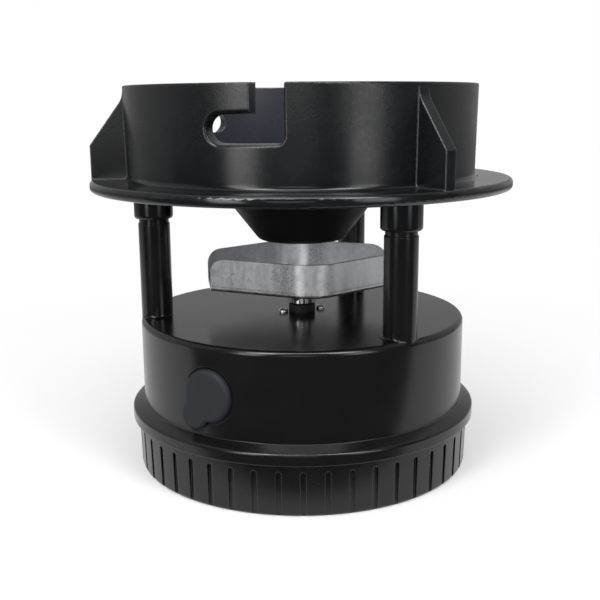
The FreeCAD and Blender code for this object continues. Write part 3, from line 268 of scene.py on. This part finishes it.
def cross_screws(node, seats, up, head_radius, head_height, shank_radius, length):
    """Pan head screws with cross recesses: each head stands on its seat, and its shank goes into it."""
    facets, weld, sharp, turn_by_place = 24, 1e-6, 0.7, 90.0
    made = bmesh.new()
    for seat in seats:
        screw = bmesh.new()
        outline = screw_outline(head_radius, head_height, shank_radius, length)
        line = [screw.verts.new((reach, 0.0, height)) for reach, height in outline]
        edges = [screw.edges.new(pair) for pair in zip(line, line[1:])]
        bmesh.ops.spin(screw, geom=line + edges, axis=(0.0, 0.0, 1.0), cent=(0.0, 0.0, 0.0),
                       angle=math.tau, steps=facets, use_merge=True)
        bmesh.ops.remove_doubles(screw, verts=screw.verts[:], dist=weld)
        sink_cross(screw, head_radius, head_height)
        upright = Matrix.Rotation(0.0 if up > 0.0 else math.pi, 3, "X")
        bmesh.ops.rotate(screw, verts=screw.verts[:], cent=(0.0, 0.0, 0.0),
                         matrix=upright @ Matrix.Rotation(seat[0] * turn_by_place, 3, "Z"))
        bmesh.ops.translate(screw, verts=screw.verts[:], vec=seat)
        turned = bpy.data.meshes.new("screw")
        screw.to_mesh(turned)
        made.from_mesh(turned)
        bpy.data.meshes.remove(turned)
        screw.free()
    mesh = bpy.data.meshes.new(f"cross_{node}")
    made.to_mesh(mesh)
    made.free()
    mesh.shade_smooth()
    mesh.set_sharp_from_angle(angle=sharp)
    mesh.materials.append(bright_zinc.material)
    piece = bpy.data.objects.new(f"cross_{node}", mesh)
    bpy.context.scene.collection.objects.link(piece)
    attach(piece, "housing")
    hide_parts(node)


HEAD_UP, HEAD_DOWN = 1.0, -1.0
MOTOR_HEAD, MOTOR_HEAD_HEIGHT, MOTOR_SHANK = 0.0028, 0.002, 0.0015
motor_low, motor_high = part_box("motor_screws")
motor_x, motor_y = motor_high[0] - MOTOR_HEAD, motor_high[1] - MOTOR_HEAD
roof_level = motor_high[2] - MOTOR_HEAD_HEIGHT
cross_screws("motor_screws", [(motor_x, motor_y, roof_level), (-motor_x, -motor_y, roof_level)], HEAD_UP,
             MOTOR_HEAD, MOTOR_HEAD_HEIGHT, MOTOR_SHANK, roof_level - motor_low[2])


# Spinner: galvanized sheet folded to a tray with two peaked walls, on a bright turned hub that a set screw
# holds on the shaft.
def galvanized(name, turn, low):
    """Galvanized sheet: fine spangle and drawn streaks, with a highlight painted near white at the corners
    and along the lower bend, which is also smoother.
    """
    finish = Finish(name, Metallic=1.0)
    spangle = finish.cells(420.0, out="Color")
    spangle_grey = finish.node("SeparateColor", {}, {0: spangle}, out=0)
    streaks = finish.noise(1.0, 3.0, 0.6, finish.stretched((420.0, 420.0, 24.0)))
    broad = finish.noise(1.0, 1.0, 0.5, finish.stretched((90.0, 90.0, 12.0)))
    fine = finish.noise(1300.0, 3.0, 0.75)
    along = finish.stretched((1.0, 1.0, 1.0), (0.0, 0.0, -turn))
    across, depth = (finish.node("SeparateXYZ", {}, {0: along}, out=name) for name in "XY")
    beside = across * finish.spread(depth, -0.004, 0.004, -1.0, 1.0)
    corner = finish.spread(beside, -0.012, -0.008, 0.0, 1.0) * finish.spread(beside, 0.009, 0.0115, 1.0, 0.0)
    rolled = finish.spread(beside, 0.0105, 0.0125, 0.0, 1.0) * finish.spread(beside, 0.018, 0.024, 1.0, 0.0)
    level = finish.axis("Z")
    lip = finish.spread(level, low + 0.0018, low + 0.0024, 1.0, 0.0)
    above_lip = finish.spread(level, low + 0.0024, low + 0.0028, 0.0, 1.0)
    seam = above_lip * finish.spread(level, low + 0.003, low + 0.0038, 1.0, 0.0)
    specks = finish.spread(fine + rolled * 0.11 - corner * 0.03, 0.60, 0.66, 0.0, 1.0)
    shade = spangle_grey * 0.2 + streaks * 0.4 + broad * 0.4 - rolled * 0.22 - seam * 0.35
    plain = finish.mix(shade, rgb(0.42, 0.44, 0.46), rgb(0.95, 0.97, 0.98))
    # Painted highlight: the corners and the lower bend are painted near white, where the sheet catches the
    # light.
    painted_glint = (corner + lip * 0.8) * (0.55 + spangle_grey * 0.45)
    wear_and_glint = finish.mix(painted_glint, plain, rgb(0.97, 0.98, 1.0))
    finish.feed("Base Color", finish.mix(specks * 0.6, wear_and_glint, rgb(0.16, 0.16, 0.165)))
    matt = finish.spread(spangle_grey * 0.3 + streaks * 0.7, 0.25, 0.75, 0.36, 0.5)
    finish.feed("Roughness", matt - lip * 0.1)
    eased = finish.node("Bevel", {"samples": 4}, {"Radius": 0.0006})
    waves = finish.bump(broad, 0.0006, 0.5, eased)
    relief = streaks * 0.6 + specks * 0.4 + spangle_grey * corner * 0.5
    finish.feed("Normal", finish.bump(relief, 0.00006, 0.45, waves))
    return finish


PLATE_TURN = math.radians(8.5)
dress(["spinner_plate"], galvanized("galvanized", PLATE_TURN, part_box("spinner_plate")[0][2]))
turned_steel = bare_steel("turned_steel", (0.82, 0.82, 0.82), 0.14, (200.0, 200.0, 6000.0))
dress(["spinner_hub"], turned_steel)
black_oxide = bare_steel("black_oxide", (0.05, 0.05, 0.055), 0.35, (2000.0, 2000.0, 2000.0))
dress(["hub_set_screw"], black_oxide)


# Charging port: a moulded jack held by a bright nut, and the soft rubber plug that closes the port.
# The plug's round face ends in a small pull tab.
jack_black = moulded_black("jack_black", 0.4, 2500.0, 0.00002, (0.014, 0.014, 0.014), (0.022, 0.022, 0.022))
dress(["charge_jack"], jack_black)
dress(["jack_nut"], bright_zinc)
plug_rubber = soft_rubber("plug_rubber", (0.009, 0.0105, 0.014), (0.015, 0.0175, 0.023), 0.62)
dress(["charge_plug"], plug_rubber)


# Battery: a sealed lead battery in a dark grey case, hung up against the roof by a zinc plated strap. Two
# small pan head screws hold the strap by its ends.
case_grey = moulded_black("case_grey", 0.45, 1800.0, 0.00003, (0.035, 0.038, 0.045), (0.055, 0.06, 0.07))
dress(["battery"], case_grey)
dress(["battery_terminals"], tab_brass)
strap_zinc = bare_steel("strap_zinc", (0.62, 0.62, 0.60), 0.38, (120.0, 2500.0, 2500.0))
dress(["battery_strap"], strap_zinc)
SMALL_HEAD, SMALL_HEIGHT, SMALL_SHANK = 0.0028, 0.0018, 0.0013
strap_low, strap_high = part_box("strap_screws")
strap_y = (strap_low[1] + strap_high[1]) / 2
strap_seat = strap_low[2] + SMALL_HEIGHT
strap_x = strap_high[0] - SMALL_HEAD
cross_screws("strap_screws", [(side * strap_x, strap_y, strap_seat) for side in (-1, 1)], HEAD_DOWN,
             SMALL_HEAD, SMALL_HEIGHT, SMALL_SHANK, strap_high[2] - strap_seat)


# Timer: a moulded tray with its face down, with a circuit board, a display behind a window, and four
# rubber buttons in a row.
timer_grey = moulded_black("timer_grey", 0.5, 1600.0, 0.00005, (0.030, 0.031, 0.033), (0.046, 0.047, 0.05))
dress(["timer_case"], timer_grey)
timer_low, timer_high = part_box("timer_screws")
timer_seat = timer_low[2] + SMALL_HEIGHT
timer_xs = (timer_low[0] + SMALL_HEAD, timer_high[0] - SMALL_HEAD)
timer_ys = (timer_low[1] + SMALL_HEAD, timer_high[1] - SMALL_HEAD)
cross_screws("timer_screws", [(x, y, timer_seat) for x in timer_xs for y in timer_ys], HEAD_DOWN,
             SMALL_HEAD, SMALL_HEIGHT, SMALL_SHANK, timer_high[2] - timer_seat)


def solder_resist(name):
    """Green board with faint tracks under the resist."""
    finish = Finish(name, Coat_Weight=0.4)
    tracks = finish.cells(420.0, feature="DISTANCE_TO_EDGE")
    gaps = finish.spread(tracks, 0.02, 0.05, 1.0, 0.0)
    finish.feed("Base Color", finish.mix(gaps, rgb(0.008, 0.07, 0.028), rgb(0.02, 0.16, 0.06)))
    finish.feed("Roughness", finish.spread(finish.noise(300.0), 0.3, 0.7, 0.3, 0.45))
    finish.feed("Normal", finish.bump(tracks, 0.00002, 0.4))
    return finish


def liquid_crystal(name):
    """Grey-green display glass with a faint fine grid."""
    finish = Finish(name, Coat_Weight=1.0)
    grid = finish.cells(2600.0)
    finish.feed("Base Color", finish.mix(grid, rgb(0.24, 0.29, 0.21), rgb(0.33, 0.39, 0.29)))
    finish.feed("Roughness", finish.spread(finish.noise(90.0), 0.3, 0.7, 0.08, 0.16))
    finish.feed("Normal", finish.bump(finish.noise(200.0), 0.00001, 0.2))
    return finish


dress(["timer_board"], solder_resist("solder_resist"))
dress(["timer_display"], liquid_crystal("liquid_crystal"))
key_rubber = soft_rubber("key_rubber", (0.11, 0.115, 0.12), (0.16, 0.165, 0.17), 0.5)
BUTTONS = 4
dress([f"timer_button_{number + 1}" for number in range(BUTTONS)], key_rubber)


# Bottom cover: a satin black cup with finger grooves all round, screwed up over the spigot against a
# rubber ring.
dress(["cover_seal"], seal_rubber)
cover_black = moulded_black("cover_black", 0.24, 1800.0, 0.00002, (0.003, 0.003, 0.0033),
                            (0.0058, 0.0058, 0.006), WIDE_EDGE)
dress(["bottom_cover"], cover_black)


# Funnel: a matte black moulding under the collar, which feeds the spinner. Four small screws hold its
# flange up against the collar.
funnel_black = moulded_black("funnel_black", 0.55, 900.0, 0.0001, (0.0015, 0.0015, 0.0015),
                             (0.004, 0.004, 0.004))
FUNNEL_SHEEN = 0.2
funnel_black.shader.inputs["Specular IOR Level"].default_value = FUNNEL_SHEEN
dress(["funnel"], funnel_black)
FUNNEL_SCREW_CIRCLE = 0.056
funnel_low, funnel_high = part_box("funnel_screws")
funnel_seat = funnel_low[2] + SMALL_HEIGHT
cross_screws("funnel_screws", [(FUNNEL_SCREW_CIRCLE * x, FUNNEL_SCREW_CIRCLE * y, funnel_seat)
                               for x, y in ((1, 0), (0, 1), (-1, 0), (0, -1))], HEAD_DOWN,
             SMALL_HEAD, SMALL_HEIGHT, SMALL_SHANK, funnel_high[2] - funnel_seat)


# Hopper collar: glossy black moulding with a pebbled skin near the rim. It drops over the legs, and a
# screw goes down into each.
def pebbled_black(name):
    """Glossy black plastic, smooth low down and pebbled toward the rim."""
    finish = Finish(name)
    mottle = finish.noise(45.0, 3.0)
    wear_and_glint = finish.noise(350.0, 4.0, 0.7)
    level = finish.axis("Z")
    high = finish.spread(level, 0.188, 0.222, 0.25, 1.0)
    collar_edge, bore_inner, bore_outer, bore_foot, bore_full = 0.0014, 0.0966, 0.0976, 0.186, 0.192
    eased, polish_and_highlight = finish.edges(collar_edge)
    sideways = finish.stretched((1.0, 1.0, 0.0))
    reach = finish.node("VectorMath", {"operation": "LENGTH"}, {0: sideways}, out="Value")
    # Painted reflection: the bore above its foot is painted a lighter blue-grey, for the light reflected
    # inside it.
    inside = finish.spread(reach, bore_inner, bore_outer, 1.0, 0.0)
    painted_bore_light = inside * finish.spread(level, bore_foot, bore_full, 0.0, 1.0)
    plain = finish.mix(mottle, rgb(0.003, 0.0034, 0.004), rgb(0.0055, 0.0061, 0.007))
    # Painted highlight: the edges are painted paler, and made smoother as by handling.
    wear_and_edge_highlight = finish.mix(polish_and_highlight * (0.25 + wear_and_glint * 0.6), plain, rgb(0.05, 0.053, 0.06))
    finish.feed("Base Color", finish.mix(painted_bore_light * (0.7 + mottle * 0.3), wear_and_edge_highlight, rgb(0.034, 0.039, 0.050)))
    flange_top, wall_foot = 0.1735, 0.180
    skin = finish.spread(level, flange_top, wall_foot, 0.6, 1.0) * (1.0 - polish_and_highlight * 0.5)
    matt = finish.spread(mottle * 0.5 + wear_and_glint * 0.5, 0.3, 0.7, 0.17, 0.27) + high * 0.08
    finish.feed("Roughness", matt * skin)
    sunk = finish.bump(finish.noise(12.0, 0.0), 0.0006, 0.12, eased)
    pebbles = finish.cells(900.0) * 0.6 + finish.noise(1500.0, 2.0, 0.6) * 0.4
    finish.feed("Normal", finish.bump(pebbles * high * skin, 0.00012, 0.45, sunk))
    return finish


dress(["hopper_collar"], pebbled_black("collar_black"))
LEG_CIRCLE, FIRST_LEG, LEG_STEP, LEGS = 0.089, -53.1, 120.0, 3
LEG_HEAD, LEG_HEIGHT, LEG_SHANK = 0.0042, 0.0026, 0.002
leg_low, leg_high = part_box("leg_screws")
leg_turns = [math.radians(FIRST_LEG + LEG_STEP * number) for number in range(LEGS)]
leg_seat = leg_high[2] - LEG_HEIGHT
cross_screws("leg_screws", [(LEG_CIRCLE * math.cos(turn), LEG_CIRCLE * math.sin(turn), leg_seat)
                            for turn in leg_turns],
             HEAD_UP, LEG_HEAD, LEG_HEIGHT, LEG_SHANK, leg_seat - leg_low[2])


# Studio: a pale floor that runs out into a white surround, which reflections find dark in front, seven
# soft boxes and the camera.
def studio_floor():
    """Pale floor that keeps the shadow near the feeder and turns white further out."""
    floor_radius = 6.0
    floor_mesh = bmesh.new()
    bmesh.ops.create_circle(floor_mesh, cap_ends=True, segments=96, radius=floor_radius)
    mesh = bpy.data.meshes.new("floor")
    floor_mesh.to_mesh(mesh)
    floor_mesh.free()
    floor = bpy.data.objects.new("floor", mesh)
    bpy.context.scene.collection.objects.link(floor)
    finish = Finish("pale_floor", Roughness=0.9, Base_Color=rgb(0.86, 0.86, 0.86))
    ahead = finish.spread(finish.axis("Y"), -0.14, -0.11, 1.0, 0.0)
    reach = finish.node("VectorMath", {"operation": "LENGTH"}, {0: finish.place}, out="Value")
    away = finish.spread(reach, 0.16, 0.6, 0.25, 1.0)
    dark_front = 0.07
    mirrored = finish.spread(reach, 0.3, 1.8, 0.82, 0.22) * (1.0 - ahead) + ahead * dark_front
    glossy, seen = finish.ray("Glossy"), finish.ray("Camera") + finish.ray("Transmission")
    glow = finish.node("Emission", {}, {"Color": seen + glossy * mirrored, "Strength": 1.0})
    lit = Value(finish, finish.shader.outputs[0])
    mixed = finish.node("MixShader", {}, {0: seen * away + glossy, 1: lit, 2: glow})
    output = finish.tree.nodes["Material Output"]
    finish.tree.links.new(mixed.socket, output.inputs["Surface"])
    mesh.materials.append(finish.material)


def studio_world():
    """White to the camera; to reflections pale behind and at the sides, and dark in front."""
    world = bpy.data.worlds.new("studio")
    bpy.context.scene.world = world
    world.use_nodes = True
    sky = Nodes(world.node_tree, "Generated")
    front_slant, dark_front, pale_back, fill = 0.155, 0.07, 0.42, 0.6
    side = sky.axis("Y") - sky.axis("X") * front_slant
    mirrored = sky.spread(side, -0.21, -0.14, dark_front, pale_back)
    glossy, seen = sky.ray("Glossy"), sky.ray("Camera") + sky.ray("Transmission")
    light = (1.0 - glossy) * fill + glossy * mirrored
    background = sky.tree.nodes["Background"]
    background.inputs["Color"].default_value = rgb(1.0, 1.0, 1.0)
    sky.tree.links.new((seen + (1.0 - seen) * light).socket, background.inputs["Strength"])


def soft_box(name, place, aim_height, width, height, power):
    """Rectangular light that faces a point on the feeder's axis, with its power in watts."""
    target = (0.0, 0.0, aim_height)
    lamp = bpy.data.lights.new(name, "AREA")
    lamp.shape = "RECTANGLE"
    lamp.size = width
    lamp.size_y = height
    lamp.energy = power
    holder = bpy.data.objects.new(name, lamp)
    holder.location = place
    holder.rotation_euler = (Vector(target) - Vector(place)).to_track_quat("-Z", "Y").to_euler()
    bpy.context.scene.collection.objects.link(holder)


studio_floor()
studio_world()
MIDDLE, ABOVE_MIDDLE, NECK = 0.15, 0.16, 0.18
soft_box("top_box", (-0.1, 0.1, 1.2), MIDDLE, 0.7, 0.5, 2.0)
soft_box("front_top_box", (0.0, -0.56, 1.15), MIDDLE, 0.90, 0.26, 5.0)
soft_box("left_box", (-0.60, -0.86, 0.36), NECK, 0.30, 0.62, 2.6)
soft_box("right_box", (0.66, -0.84, 0.36), NECK, 0.34, 0.62, 1.9)
soft_box("left_high_box", (-0.50, -0.76, 1.05), NECK, 0.36, 0.42, 5.0)
soft_box("right_high_box", (0.52, -0.74, 1.05), NECK, 0.36, 0.42, 4.4)
soft_box("front_box", (-0.06, -1.15, 0.33), ABOVE_MIDDLE, 0.44, 0.30, 0.65)

CAMERA_REACH = 0.55786
CAMERA_HEIGHT = 0.21833
CAMERA_PITCH = 0.2137
CAMERA_YAW = 0.0022
CAMERA_ROLL = -0.0077
CAMERA_LENS = 55.04
SENSOR_WIDTH = 36.0
NEAREST_SEEN = 0.01
camera_data = bpy.data.cameras.new("camera")
camera_data.lens = CAMERA_LENS
camera_data.sensor_width = SENSOR_WIDTH
camera_data.clip_start = NEAREST_SEEN
camera = bpy.data.objects.new("camera", camera_data)
camera_turn = (Matrix.Rotation(CAMERA_YAW, 4, "Z") @ Matrix.Rotation(math.pi / 2 - CAMERA_PITCH, 4, "X")
               @ Matrix.Rotation(CAMERA_ROLL, 4, "Z"))
camera.matrix_world = Matrix.Translation((0.0, -CAMERA_REACH, CAMERA_HEIGHT)) @ camera_turn
bpy.context.scene.collection.objects.link(camera)
bpy.context.scene.camera = camera
bpy.context.scene.view_settings.view_transform = "Standard"
